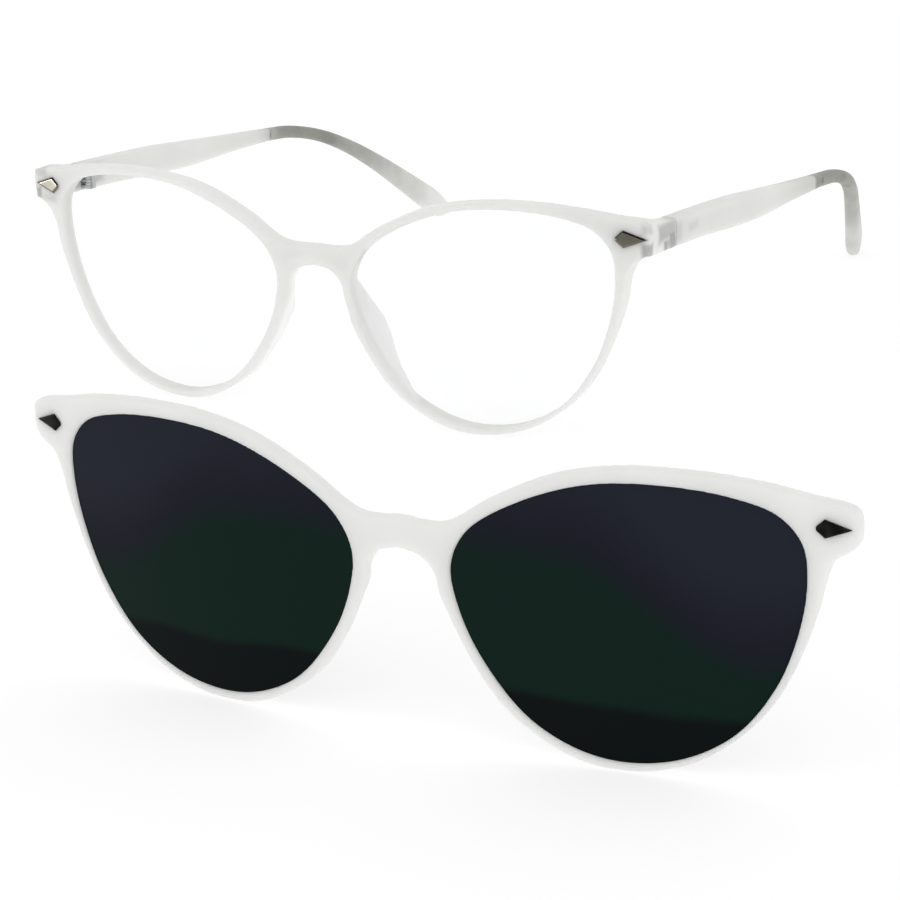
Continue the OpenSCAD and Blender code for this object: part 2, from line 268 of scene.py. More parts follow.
class Skin:
    """Points in millimetres and the faces between them, before they become a piece."""

    def __init__(self, points: Points, faces: Iterable[Sequence[int]]) -> None:
        """Keeps the points and faces.

        Args:
            points: One row per point.
            faces: Point numbers of each face.
        """
        self.points = np.asarray(points, float)
        self.faces = [tuple(f) for f in faces]

    @staticmethod
    def slab(layers: Sequence[tuple[float, Points]], holes: Sequence[Points] = ()) -> "Skin":
        """Plate with an outline and openings seen from the front, whose outline may change with depth.

        Args:
            layers: Depth and outer outline of each layer, from the face to the back, with as many
                points in each.
            holes: Outlines of its openings.

        Returns:
            The closed plate.
        """
        faces: list[Sequence[int]] = []
        points = []
        count = sum(len(loop) for loop in (layers[0][1], *holes))
        for turn, (depth, outline) in enumerate(layers):
            loops = [outline, *holes]
            points.append(at_depth(np.concatenate(loops), depth))
            low = turn * count
            if turn in (0, len(layers) - 1):
                caps = tessellate_polygon([[Vector((x, z, 0)) for x, z in loop] for loop in loops])
                faces += [tuple(low + i for i in (reversed(t) if turn else t)) for t in caps]
            if turn == len(layers) - 1:
                break
            for loop in loops:
                ring = range(low, low + len(loop))
                for i, start in enumerate(ring):
                    end = ring[(i + 1) % len(loop)]
                    faces.append((start, end, end + count, start + count))
                low += len(loop)
        return Skin(np.concatenate(points), faces).outward()

    @staticmethod
    def lofted(rings: Sequence[Points]) -> "Skin":
        """Tube through rings of equal length, closed at both ends.

        Args:
            rings: Points of each ring, in order.

        Returns:
            The closed tube.
        """
        size = len(rings[0])
        faces: list[Sequence[int]] = [range(size - 1, -1, -1)]
        for r in range(len(rings) - 1):
            for i in range(size):
                j = (i + 1) % size
                faces.append((r * size + i, r * size + j, (r + 1) * size + j, (r + 1) * size + i))
        faces.append(range((len(rings) - 1) * size, len(rings) * size))
        return Skin(np.concatenate(rings), faces).outward()

    @staticmethod
    def block(low: Triple, high: Triple) -> "Skin":
        """Box between two corners, used to cut pockets."""
        (x0, y0, z0), (x1, y1, z1) = low, high
        return Skin.lofted([np.array([(x0, y, z0), (x1, y, z0), (x1, y, z1), (x0, y, z1)]) for y in (y0, y1)])

    def outward(self) -> "Skin":
        """The same closed skin with its faces turned outward.

        Returns:
            The skin itself, or one with its faces turned.
        """
        fans = np.array([(f[0], f[i], f[i + 1]) for f in self.faces for i in range(1, len(f) - 1)])
        a, b, c = (self.points[fans[:, k]] for k in range(3))
        volume = (a * np.cross(b, c)).sum()
        return self if volume > 0 else Skin(self.points, [f[::-1] for f in self.faces])

    def mapped(self, move: Callable[[Points], Points]) -> "Skin":
        """The same faces with every point moved by a function."""
        return Skin(move(self.points), self.faces)

    def on(self, side: Side) -> "Skin":
        """The skin itself for the left side, or its mirror image for the right."""
        return self if side is Side.LEFT else Skin(self.points * (-1, 1, 1), [f[::-1] for f in self.faces])

    def joined(self, others: Iterable["Skin"]) -> "Skin":
        """Puts this skin and others in one, without any merging.

        Args:
            others: The other skins.

        Returns:
            All of them as one skin.
        """
        points, faces = [self.points], list(self.faces)
        start = len(self.points)
        for other in others:
            points.append(other.points)
            faces += [tuple(i + start for i in f) for f in other.faces]
            start += len(other.points)
        return Skin(np.concatenate(points), faces)

    def loose(self, name: str) -> Thing:
        """Turns it into an object in millimetres, which isn't shown yet.

        Args:
            name: Name of the object.

        Returns:
            The linked object.
        """
        mesh = bpy.data.meshes.new(name)
        mesh.from_pydata(self.points.tolist(), [], self.faces)
        mesh.validate()
        thing = bpy.data.objects.new(name, mesh)
        bpy.context.scene.collection.objects.link(thing)
        return thing

    @staticmethod
    def taken(thing: Thing) -> "Skin":
        """Reads a skin from an object with its modifiers applied, and removes the object.

        Args:
            thing: The object.

        Returns:
            Its skin.
        """
        seen = thing.evaluated_get(bpy.context.evaluated_depsgraph_get())
        mesh = seen.to_mesh()
        points = np.zeros(len(mesh.vertices) * 3)
        mesh.vertices.foreach_get("co", points)
        faces = [tuple(p.vertices) for p in mesh.polygons]
        seen.to_mesh_clear()
        scrapped(thing)
        return Skin(points.reshape(-1, 3), faces)

    def fused(self, grain: float) -> "Skin":
        """Melts all that overlaps into one closed skin of even squares.

        Args:
            grain: Size of the squares.

        Returns:
            The fused skin.
        """
        thing = self.loose("fusing")
        melt = thing.modifiers.new("melt", "REMESH")
        melt.mode = "VOXEL"
        melt.voxel_size = grain
        return Skin.taken(thing)

    def softened(self, rounds: int, share: Callable[[Points], Points]) -> "Skin":
        """Rounds edges and blends corners by easing each point towards its neighbours.

        Args:
            rounds: Number of times that the points move.
            share: Gives the share of the way that each point moves, from where it is.

        Returns:
            The softened skin.
        """
        faces = np.array(self.faces)
        a, b = faces.T.ravel(), np.roll(faces, -1, axis=1).T.ravel()
        count = len(self.points)
        neighbours = np.bincount(a, minlength=count) + np.bincount(b, minlength=count)
        points = self.points.copy()
        amount = share(points)[:, None]
        for _ in range(rounds):
            sums = [np.bincount(a, points[b, k], count) + np.bincount(b, points[a, k], count) for k in range(3)]
            points += amount * (np.stack(sums, axis=1) / neighbours[:, None] - points)
        return Skin(points, self.faces)

    def without(self, *cutters: "Skin") -> "Skin":
        """Cuts other skins out of this one.

        Args:
            *cutters: Closed skins.

        Returns:
            What is left.
        """
        thing = self.loose("blank")
        tools = []
        for cutter in cutters:
            tool = cutter.loose("cutter")
            tools.append(tool)
            cut = thing.modifiers.new("cut", "BOOLEAN")
            cut.operation = "DIFFERENCE"
            cut.solver = "MANIFOLD"
            cut.object = tool
        left = Skin.taken(thing)
        for tool in tools:
            scrapped(tool)
        return left

    def piece(self, name: str, crease: float = 40.0) -> Thing:
        """Makes the finished object, in metres, shaded smooth apart from its sharp edges.

        Args:
            name: Name of the piece.
            crease: Angle in degrees above which an edge stays sharp.

        Returns:
            The object.
        """
        thing = Skin(self.points * MM, self.faces).loose(name)
        thing.data.shade_smooth()
        thing.data.set_sharp_from_angle(angle=math.radians(crease))
        return thing


@dataclass(frozen=True)
class Shade:
    """Soft-edged block that tints frosted plastic, on one side or on both, for metal that shows through, for
    painted shade and for painted light.
    """

    middle: Triple
    half: Triple
    soft: float
    strength: float
    side: Side | None = None


CORNER_SHADES = (
    Shade((67.6, 16.1, 13.3), (0.9, 1.2, 1.75), 0.3, 0.78),  # knuckles
    Shade((67.6, 13.2, 12.9), (0.9, 0.6, 1.2), 0.3, 0.78),  # front end of the leaf
    Shade((67.6, 15.1, 12.7), (0.9, 2.7, 1.5), 0.6, 0.58),  # lower half of the leaf
    Shade((67.6, 14.0, 15.9), (0.9, 3.8, 1.6), 1.0, 0.62),  # painted shade over the side wall above it
    Shade((68.0, 6.8, 13.6), (1.6, 1.0, 1.5), 0.6, 0.68),  # corner below the rivet
    Shade((68.1, 6.8, 17.9), (1.6, 1.0, 0.9), 0.7, 0.34, Side.LEFT),  # painted shade on the left corner above the rivet
    # painted shade on the right corner above the rivet
    Shade((66.5, 6.5, 18.6), (2.0, 1.0, 1.2), 0.9, 0.36, Side.RIGHT),
    # painted shade on the right corner below the rivet
    Shade((65.0, 6.0, 13.1), (2.4, 1.0, 0.5), 0.9, 0.3, Side.RIGHT),
    Shade((68.4, 17.8, 16.9), (0.45, 0.4, 0.5), 0.25, 0.9),  # painted shade in the notch at the seam
)
BLADE_SHADES = (
    Shade((67.6, 25.4, 13.9), (0.9, 2.2, 0.9), 0.8, 0.2),  # end of the leaf
    Shade((66.5, 50, 11.5), (3.0, 34, 7.5), 5.0, 0.06, Side.LEFT),  # painted shade over the whole left blade
    Shade((67.6, 19.2, 14.2), (0.9, 1.2, 1.9), 1.2, 0.26),  # knuckles
    Shade((65.8, 90, 6.6), (4, 6, 4), 5.0, 0.42),  # tongue in the rubber sleeve
    Shade((65.8, 96, 6.6), (16, 18, 16), 24.0, 0.2),  # slow greying towards the sleeve
    # painted shade, which makes the greying stronger on the left blade
    Shade((65.8, 96, 6.6), (16, 18, 16), 24.0, 0.62, Side.LEFT),
    Shade((65.8, 90, 6.6), (4, 6.2, 4), 1.3, 1.0, Side.LEFT),  # dark last part of the left blade
)
PAD_PAINTED_LIGHT = Shade((12, 6.3, -6), (8, 4.4, 13), 1.3, 1.0)  # painted light over the nose pads, which lifts the shade between rim and pad


class NodeSheet:
    """The node tree of a material or of the world, while it is drawn up."""

    def __init__(self, owner: Material | bpy.types.World) -> None:
        """Starts an empty tree.

        Args:
            owner: The material or world that it belongs to.
        """
        owner.use_nodes = True
        self.owner = owner
        self.tree = owner.node_tree
        self.tree.nodes.clear()
        kind = "Material" if isinstance(owner, Material) else "World"
        self.output = self.tree.nodes.new("ShaderNodeOutput" + kind)

    @staticmethod
    def named(name: str) -> "NodeSheet":
        """An empty sheet for a new material."""
        return NodeSheet(bpy.data.materials.new(name))

    def node(self, kind: str, sockets: dict | None = None, **settings: object) -> bpy.types.Node:
        """Adds a node.

        Args:
            kind: Blender's name for the node, without "ShaderNode".
            sockets: What each input gets: another node's output, or a plain value.
            **settings: Properties of the node.

        Returns:
            The node.
        """
        made = self.tree.nodes.new("ShaderNode" + kind)
        for key, value in settings.items():
            setattr(made, key, value)
        for key, value in (sockets or {}).items():
            socket = made.inputs[key]
            if isinstance(value, Socket):
                self.tree.links.new(value, socket)
            else:
                socket.default_value = (*value, 1) if socket.type == "RGBA" else value
        return made

    @cached_property
    def place(self) -> Socket:
        """Where a point of the piece is, in metres, in the piece's own frame."""
        return self.node("TexCoord").outputs["Object"]

    def axes(self) -> tuple[Socket, Socket, Socket]:
        """The place's distance across, back and up, one by one."""
        return tuple(self.node("SeparateXYZ", {0: self.place}).outputs)

    def noise(self, scale: float, detail: float = 2.0, stretch: Triple = (1, 1, 1)) -> Socket:
        """Grey noise over the piece.

        Args:
            scale: Number of blotches in a metre.
            detail: Levels of finer noise.
            stretch: Factors on the scale along each axis.

        Returns:
            Its value.
        """
        place = self.node("Mapping", {"Vector": self.place, "Scale": stretch}).outputs["Vector"]
        return self.node("TexNoise", {"Vector": place, "Scale": scale, "Detail": detail}).outputs["Fac"]

    def between(self, value: Socket, low: float, high: float, start: float = 0.3, end: float = 0.7) -> Socket:
        """Takes a value from one span to another, with soft ends.

        Args:
            value: What to take.
            low: Result at the start.
            high: Result at the end.
            start: Value that gives low.
            end: Value that gives high.

        Returns:
            The result.
        """
        sockets = {"Value": value, "From Min": start, "From Max": end, "To Min": low, "To Max": high}
        return self.node("MapRange", sockets, interpolation_type="SMOOTHSTEP").outputs["Result"]

    def combine(self, kind: str, *values: Socket | float) -> Socket:
        """One step of arithmetic with one or two values."""
        return self.node("Math", dict(enumerate(values)), operation=kind).outputs[0]

    def greatest(self, first: Socket, *others: Socket) -> Socket:
        """The greatest of several values.

        Args:
            first: One of them.
            *others: The rest.

        Returns:
            The greatest.
        """
        for other in others:
            first = self.combine("MAXIMUM", first, other)
        return first

    def blend(self, share: Socket, a: Socket | Colour, b: Socket | Colour) -> Socket:
        """Mixes two colours.

        Args:
            share: How much of the second one shows.
            a: First colour.
            b: Second colour.

        Returns:
            The mixed colour.
        """
        factor, first, second, result = 0, 6, 7, 2
        return self.node("Mix", {factor: share, first: a, second: b}, data_type="RGBA").outputs[result]

    def grain(self, height: Socket, depth: float) -> Socket:
        """Normal of a surface with a fine relief, whose height from 0 to 1 is that depth in metres."""
        return self.node("Bump", {"Height": height, "Distance": depth, "Strength": 1.0}).outputs["Normal"]

    def near_block(self, block: Shade) -> Socket:
        """How deep a point is in the soft-edged block of a shade.

        Args:
            block: The shade.

        Returns:
            A value from 0 outside the block to the shade's strength inside.
        """
        across, back, up = self.axes()
        if block.side is None:
            across = self.combine("ABSOLUTE", across)
        else:
            across = self.combine("MULTIPLY", across, block.side.value)
        past = []
        for source, middle, half in zip((across, back, up), block.middle, block.half):
            off = self.combine("ABSOLUTE", self.combine("SUBTRACT", source, middle * MM))
            past.append(self.combine("SUBTRACT", off, half * MM))
        return self.between(self.greatest(*past), block.strength, 0.0, -block.soft * MM, block.soft * MM)

    def finished(self, kind: str, sockets: dict) -> Material | bpy.types.World:
        """Adds the last shader and joins it to the output.

        Args:
            kind: Blender's name for the shader, without "ShaderNode".
            sockets: What each input of it gets.

        Returns:
            The finished material or world.
        """
        self.tree.links.new(self.node(kind, sockets).outputs[0], self.output.inputs["Surface"])
        return self.owner


@dataclass(frozen=True)
class SatinSkin:
    """How light meets a moulded piece: soft gloss, scatter inside it and a fine grain."""

    ior: float
    roughness: tuple[float, float]
    blotches: float
    scatter: float
    spread: Triple
    depth: float
    grain: float
    relief: float
    gloss: float = 0.4

    def material(self, sheet: NodeSheet, colour: Socket) -> Material:
        """Finishes a material.

        Args:
            sheet: Its node tree.
            colour: Its colour, drawn up already.

        Returns:
            The material.
        """
        return sheet.finished("BsdfPrincipled", {
            "Base Color": colour,
            "Roughness": sheet.between(sheet.noise(self.blotches), *self.roughness),
            "IOR": self.ior,
            "Specular IOR Level": self.gloss,
            "Subsurface Weight": self.scatter,
            "Subsurface Radius": self.spread,
            "Subsurface Scale": self.depth,
            "Normal": sheet.grain(sheet.noise(self.grain), self.relief),
        })


@dataclass(frozen=True)
class FrostedPlastic:
    """Milky translucent acetate with a fine frosted grain, darker where metal shows through, with painted shade
    and painted light where it is given them.
    """

    name: str = "frosted_plastic"
    tone: Colour = (0.79, 0.79, 0.775)
    cloud: Colour = (0.765, 0.765, 0.75)
    metal_and_shade_tint: Colour = (0.26, 0.265, 0.26)
    thin_tint: Colour = (0.95, 0.95, 0.94)
    clouds: float = 90.0
    shades: tuple[Shade, ...] = ()
    thin: Shade | None = None
    surface: SatinSkin = SatinSkin(
        ior=1.49, roughness=(0.36, 0.5), blotches=700, scatter=0.8, spread=(1.0, 1.0, 0.95), depth=0.004,
        grain=9000, relief=4e-6,
    )

    def material(self) -> Material:
        """Draws up the material.

        Returns:
            The material.
        """
        sheet = NodeSheet.named(self.name)
        colour = sheet.blend(sheet.between(sheet.noise(self.clouds, 3), 0, 1), self.tone, self.cloud)
        # painted light over the nose pads
        if self.thin:
            colour = sheet.blend(sheet.near_block(self.thin), colour, self.thin_tint)
        # metal seen through the plastic, and painted shade
        if self.shades:
            dark = sheet.greatest(*(sheet.near_block(shade) for shade in self.shades))
            colour = sheet.blend(dark, colour, self.metal_and_shade_tint)
        return self.surface.material(sheet, colour)


@dataclass(frozen=True)
class ClearLens:
    """Clear lens with a thin coat, so it hardly shows."""

    name: str = "clear_lens"
    tint: Colour = (0.997, 0.999, 0.998)
    fringe: Colour = (0.991, 0.995, 0.993)
    clouds: float = 40.0
    smears: float = 160.0
    haze: float = 0.02
    haze_from: tuple[float, float] = (0.5, 0.8)
    coat_ior: float = 1.15

    def material(self) -> Material:
        """Draws up the material.

        Returns:
            The material.
        """
        sheet = NodeSheet.named(self.name)
        tint = sheet.blend(sheet.between(sheet.noise(self.clouds, 1), 0, 1), self.tint, self.fringe)
        passing = sheet.node("BsdfTransparent", {"Color": tint})
        rough = sheet.between(sheet.noise(self.smears, 3), 0.0, self.haze, *self.haze_from)
        gloss = sheet.node("BsdfGlossy", {"Color": WHITE, "Roughness": rough})
        facing = sheet.node("Fresnel", {"IOR": self.coat_ior}).outputs[0]
        return sheet.finished("MixShader", {0: facing, 1: passing.outputs[0], 2: gloss.outputs[0]})


@dataclass(frozen=True)
class TintedLens:
    """Dark sun lens whose colour bands are painted reflections: violet-black above, deep green in the middle,
    near black below.
    """

    name: str = "tinted_lens"
    above: Colour = (0.015, 0.017, 0.027)
    dusk: Colour = (0.009, 0.010, 0.017)
    middle: Colour = (0.003, 0.014, 0.010)
    below: Colour = (0.002, 0.004, 0.004)
    violet_z: tuple[float, float] = (9.0, 22.0)
    green_z: tuple[float, float] = (5.5, 11.5)
    black_z: tuple[float, float] = (-14.5, -12.5)
    sag: float = 13.5
    sag_x: tuple[float, float] = (LENS_X - 8, LENS_X + 20)
    wave: float = 1.2
    waves: float = 30.0
    smears: float = 120.0
    roughness: tuple[float, float] = (0.02, 0.06)
    ior: float = 1.49
    gloss: float = 0.05

    def material(self) -> Material:
        """Draws up the material, whose painted reflection bands hang lower towards the temples.

        Returns:
            The material.
        """
        sheet = NodeSheet.named(self.name)
        across, _, up = sheet.axes()
        outward = sheet.combine("ABSOLUTE", sheet.combine("SUBTRACT", across, CLIP_REST[0] * MM))
        sag = sheet.between(outward, 0.0, self.sag * MM, *metres(*self.sag_x))
        wave = sheet.between(sheet.noise(self.waves), *metres(-self.wave, self.wave))
        height = sheet.combine("ADD", sheet.combine("ADD", up, sag), wave)
        # painted reflections: violet over the top, green in the middle, near black below
        violet = sheet.blend(sheet.between(height, 0, 1, *metres(*self.violet_z)), self.dusk, self.above)
        upper = sheet.blend(sheet.between(height, 0, 1, *metres(*self.green_z)), self.middle, violet)
        dark = sheet.between(sheet.combine("ADD", up, wave), 1, 0, *metres(*self.black_z))
        return sheet.finished("BsdfPrincipled", {
            "Base Color": sheet.blend(dark, upper, self.below),
            "Roughness": sheet.between(sheet.noise(self.smears, 3), *self.roughness),
            "IOR": self.ior,
            "Specular IOR Level": self.gloss,
        })


@dataclass(frozen=True)
class BrushedMetal:
    """Metal with fine brush lines and slight blotches, and if it is given one, painted shade on its faces that
    turn upward.
    """

    name: str
    tone: Colour
    worn: Colour
    roughness: tuple[float, float] = (0.22, 0.36)
    lines: Triple = (1, 1, 18)
    painted_upper_shade: Colour | None = None
    upper_from: tuple[float, float] = (0.2, 0.4)
    fineness: float = 2600.0
    blotches: float = 500.0
    relief: float = 1e-6

    def material(self) -> Material:
        """Draws up the material.

        Returns:
            The material.
        """
        sheet = NodeSheet.named(self.name)
        brush = sheet.noise(self.fineness, 3, self.lines)
        colour = sheet.blend(sheet.between(sheet.noise(self.blotches), 0, 1), self.tone, self.worn)
        # painted shade on the faces that turn upward
        if self.painted_upper_shade:
            facing = sheet.node("SeparateXYZ", {0: sheet.node("TexCoord").outputs["Normal"]}).outputs[2]
            colour = sheet.blend(sheet.between(facing, 0, 1, *self.upper_from), colour, self.painted_upper_shade)
        return sheet.finished("BsdfPrincipled", {
            "Base Color": colour,
            "Metallic": 1.0,
            "Roughness": sheet.between(brush, *self.roughness),
            "Normal": sheet.grain(brush, self.relief),
        })


@dataclass(frozen=True)
class TipRubber:
    """Satin olive-grey rubber that pales along the bend to milky plastic at the paddle."""

    name: str = "tip_rubber"
    olive: Colour = (0.29, 0.295, 0.26)
    dark: Colour = (0.21, 0.215, 0.185)
    pale: Colour = (0.86, 0.86, 0.84)
    pale_y: tuple[float, float] = (104.0, 145.0)
    left_share: float = 0.75
    mouth_y: tuple[float, float] = (88.0, 93.0)
    mouth_share: float = 0.3
    wave: float = 3.0
    waves: float = 110.0
    streaks: float = 150.0
    streak_shape: Triple = (2.2, 0.7, 0.7)
    streak_from: tuple[float, float] = (0.35, 0.75)
    sides_x: tuple[float, float] = (-10.0, 10.0)
    surface: SatinSkin = SatinSkin(
        ior=1.45, roughness=(0.42, 0.56), blotches=900, scatter=0.3, spread=(1.0, 1.0, 0.9), depth=0.0015,
        grain=7000, relief=5e-6,
    )

    def material(self) -> Material:
        """Draws up the material, which is a little paler on the right tip and at its mouth.

        Returns:
            The material.
        """
        sheet = NodeSheet.named(self.name)
        streak = sheet.between(sheet.noise(self.streaks, 3, self.streak_shape), 0, 1, *self.streak_from)
        base = sheet.blend(streak, self.olive, self.dark)
        across, back, _ = sheet.axes()
        right = sheet.between(across, 1, 0, *metres(*self.sides_x))
        wave = sheet.between(sheet.noise(self.waves), *metres(-self.wave, self.wave))
        far = sheet.between(sheet.combine("ADD", back, wave), 0, 1, *metres(*self.pale_y))
        far = sheet.combine("MULTIPLY", far, sheet.between(right, self.left_share, 1))
        mouth = sheet.between(back, self.mouth_share, 0, *metres(*self.mouth_y))
        mouth = sheet.combine("MULTIPLY", mouth, right)
        return self.surface.material(sheet, sheet.blend(sheet.greatest(far, mouth), base, self.pale))


def dressed(thing: Thing, skin: Material, body: Body, node: str) -> Thing:
    """Finishes a new piece and puts it in the place of its solid.

    Args:
        thing: The piece.
        skin: Its material.
        body: The body that it moves with.
        node: The solid that it stands for.

    Returns:
        The piece.
    """
    thing.data.materials.append(skin)
    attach(thing, body.value)
    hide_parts(node)
    LOG.info("made %s, %d faces", thing.name, len(thing.data.polygons))
    return thing


@dataclass(frozen=True)
class Twins:
    """What a left and a right piece are called, and the slot, solids and body that are theirs.

    The solids' name has a gap for the side. Without a body, each piece moves with its temple.
    """

    name: str
    slot: Slot
    node: str
    body: Body | None = None
    shift: Triple = AT_FACE
    crease: float = 40.0

    def make(self, left: Skin, skin: Material) -> list[Thing]:
        """Makes both pieces from the left one's skin, shifted to where they rest, and dresses them.

        Args:
            left: The left piece where it is drawn.
            skin: Their material.

        Returns:
            The two pieces.
        """
        made = []
        for side in Side:
            placed = left.on(side).mapped(lambda p: p + self.shift)
            thing = placed.piece(f"{side.word}_{self.name}", self.crease)
            body = self.body or Body.temple(side)
            made.append(dressed(thing, skin, body, self.node.format(side.word)))
        return made


@dataclass(frozen=True)
class RimShape:
    """Outline of a front and its lens openings, seen from straight ahead, with the edge trimmed or full."""

    saddle: float
    trim: float
    lens_x: float = LENS_X
    steps: int = 8
    opening_knots: Knots = (
        (24.9, 0.5), (26.1, 8), (25.5, 13.3), (22.3, 17.1), (16, 19.2), (6, 20.1), (-5, 19.2), (-16, 15.3),
        (-24.1, 10), (-26.8, 4.6), (-26, -1.5), (-22.5, -9.2), (-15, -17.8), (-5, -22), (6, -21.3),
        (15.2, -16.4), (21.5, -8.3),
    )

    def half_knots(self) -> list[tuple[float, float]]:
        """Knots of the left half's outer edge.

        Returns:
            The knots from the top of the bridge round to the gap.
        """
        t = self.trim
        return [
            (0, 10.9 - 0.7 * t), (5.5, 10.6 - t / 4), (8.2, 11.3 - t / 4), (15, 15.6 - t / 4),
            (25, 20.2 - 0.8 * t), (35, 22.2 - 1.3 * t), (45, 22.4 - 1.3 * t), (55, 21.5 - 1.3 * t),
            (61.5, 20.2 - 0.9 * t), (67.2 - t / 2, 19 - t / 4), (68.2 - t / 2, 18.1 - t / 4),
            (68.2 - t / 2, 13.9), (67.2 - t / 2, 12.7), (64.8 - t / 4, 11.1), (63.6 - t / 2, 8.5),
            (62.3, 3.5), (59.5, -4.2), (55.6 + t / 4, -11.5), (50.5 + t / 2, -17), (44 + t / 2, -21.3),
            (35, -23.6), (27, -22.8), (20.2, -19.6), (15, -15.4), (10.2, -8.5), (7.8, -3.6),
        ]

    def edge(self, gap: Knots | None = None) -> Points:
        """Closed outer edge, counter-clockwise, cut flat where it stands.

        Args:
            gap: The last four knots, up the nasal side to the middle of the saddle, if they differ
                from the plain ones.

        Returns:
            The edge.
        """
        plain = ((6.2, 0), (5.5, self.saddle - 3), (3.4, self.saddle - 0.8), (0, self.saddle))
        half = smooth_curve([*self.half_knots(), *(gap or plain)], self.steps, closed=False)
        loop = np.concatenate([half * (-1, 1), half[-2:0:-1]])
        loop[:, 1] = np.maximum(loop[:, 1], FLOOR_Z)
        return loop

    def opening(self, side: Side, by: float = 0.0) -> Points:
        """Opening of one lens, counter-clockwise, grown by a distance."""
        loop = grown(smooth_curve(self.opening_knots, self.steps, closed=True), by) + (self.lens_x, 0)
        return loop if side is Side.LEFT else loop[::-1] * (-1, 1)


@dataclass(frozen=True)
class KiteShape:
    """Kite of a rivet, with its blunt end towards the lens."""

    length: float
    height: float
    blunt: float = 0.25
    x: float = 64.5
    z: float = 15.9
    bevel: Knots = ((0.0, 0.7), (1.0, 0.12), (1.6, 0.0))

    def corners(self, by: float = 0.0) -> Points:
        """Corners of the kite.

        Args:
            by: Distance that its edges are moved outward by.

        Returns:
            The corners, counter-clockwise.
        """
        half, quarter, up = self.length / 2, self.length / 4, self.height / 2
        kite = np.array([(half, 0), (-quarter, up), (-half, self.blunt), (-half, -self.blunt), (-quarter, -up)])
        return shrunk_corners(kite, -by) if by else kite

    def plate(self, face: float, back: float, chamfer: float = 0.0, by: float = 0.0) -> Skin:
        """Plate of the left side, set against the front.

        Args:
            face: Depth of its foremost surface.
            back: Depth of its back.
            chamfer: Width of the bevel round its face, whose steps are shares of it inward and down.
            by: How much larger than the kite it is, for a pocket.

        Returns:
            The closed plate.
        """
        steps = [(0.0, back), (0.0, face)]
        if chamfer:
            steps[1:] = [(inward * chamfer, face + down * chamfer) for inward, down in self.bevel]
        outer = self.corners(by)
        rings = [at_depth(shrunk_corners(outer, inward) if inward else outer, depth) for inward, depth in steps]
        return Skin.lofted(rings).mapped(lambda p: WRAP.at_face(p, self.x, self.z))


@dataclass(frozen=True)
class RivetSeat:
    """Pockets in a corner of a front: a kite for the rivet, and a round one for the magnet behind it."""

    kite: KiteShape
    mouth: float
    floor: float
    magnet_x: float
    magnet_y: tuple[float, float]
    magnet_r: float = 1.35
    play: float = 0.05
    turns: int = 40

    def cutters(self) -> list[Skin]:
        """Cutters for the pockets of the left corner.

        Returns:
            The kite and the disc.
        """
        angle = np.arange(self.turns) * 2 * math.pi / self.turns
        disc = self.magnet_r * np.stack([np.cos(angle), np.sin(angle)], axis=1)
        near, far = self.magnet_y
        plug = Skin.lofted([at_depth(disc, far), at_depth(disc, near)])
        plug = plug.mapped(lambda p: WRAP.at_face(p, self.magnet_x, self.kite.z))
        return [self.kite.plate(self.mouth, self.floor, by=self.play), plug]


@dataclass(frozen=True)
class Easing:
    """How far each point of a flat moulding is eased in every round, by where it is."""

    rim: float = 0.22
    pad: float = 0.34
    corner: float = 0.13
    bridge: float = 0.12
    pad_x: tuple[float, float] = (19, 23)
    pad_y: tuple[float, float] = (2.6, 4.2)
    corner_x: tuple[float, float] = (61, 64)
    bridge_x: tuple[float, float] = (8, 13)
    bridge_z: tuple[float, float] = (-2, 3)

    def shares(self, flat: Points) -> Points:
        """Share of the way that each point moves.

        Args:
            flat: Points as across, depth and up.

        Returns:
            The shares: more than the rim's at the pads, less at the corners and the bridge.
        """
        across = np.abs(flat[:, 0])
        pads = (1 - eased(across, *self.pad_x)) * eased(flat[:, 1], *self.pad_y)
        corners = eased(across, *self.corner_x)
        bridge = (1 - eased(across, *self.bridge_x)) * eased(flat[:, 2], *self.bridge_z)
        return self.rim + self.pad * pads - self.corner * corners - self.bridge * bridge * (1 - pads)


@dataclass(frozen=True)
class FrontWall:
    """A moulded front: a wrapped wall with two lens openings, softened edges and cut pockets."""

    rim: RimShape
    near: float
    far: float
    groove_y: tuple[float, float]
    easing: Easing
    rounds: int
    groove_depth: float = 0.6
    grain: float = 0.25
    brow: Knots | None = None
    brow_t: float = 1.1

    def blank(self) -> Skin:
        """The wall laid flat, before anything is added.

        Returns:
            The wall, with the saddle's chamfer in its face if it has one.
        """
        openings = [self.rim.opening(side) for side in Side]
        layers = [(self.near, self.rim.edge(self.brow))]
        if self.brow:
            layers.append((self.near + self.brow_t, self.rim.edge()))
        layers.append((self.far, self.rim.edge()))
        return Skin.slab(layers, openings)

    def grooves(self) -> list[Skin]:
        """Cutters for the grooves that the lenses snap into."""
        rings = [self.rim.opening(side, self.groove_depth) for side in Side]
        return [Skin.slab([(depth, ring) for depth in self.groove_y]).mapped(WRAP.bent) for ring in rings]

    def moulded(self, extras: Sequence[Skin], cutters: Sequence[Skin]) -> Skin:
        """The finished moulding: all melted into one, softened, wrapped and cut.

        Args:
            extras: What is added to the wall on the left, and mirrored.
            cutters: What is cut out of it on the left, and mirrored.

        Returns:
            The moulding at the face.
        """
        added = [extra.on(side).mapped(WRAP.flattened) for side in Side for extra in extras]
        flat = self.blank().joined(added).fused(self.grain)
        body = flat.softened(self.rounds, self.easing.shares).mapped(WRAP.bent)
        return body.without(*self.grooves(), *(cutter.on(side) for side in Side for cutter in cutters))


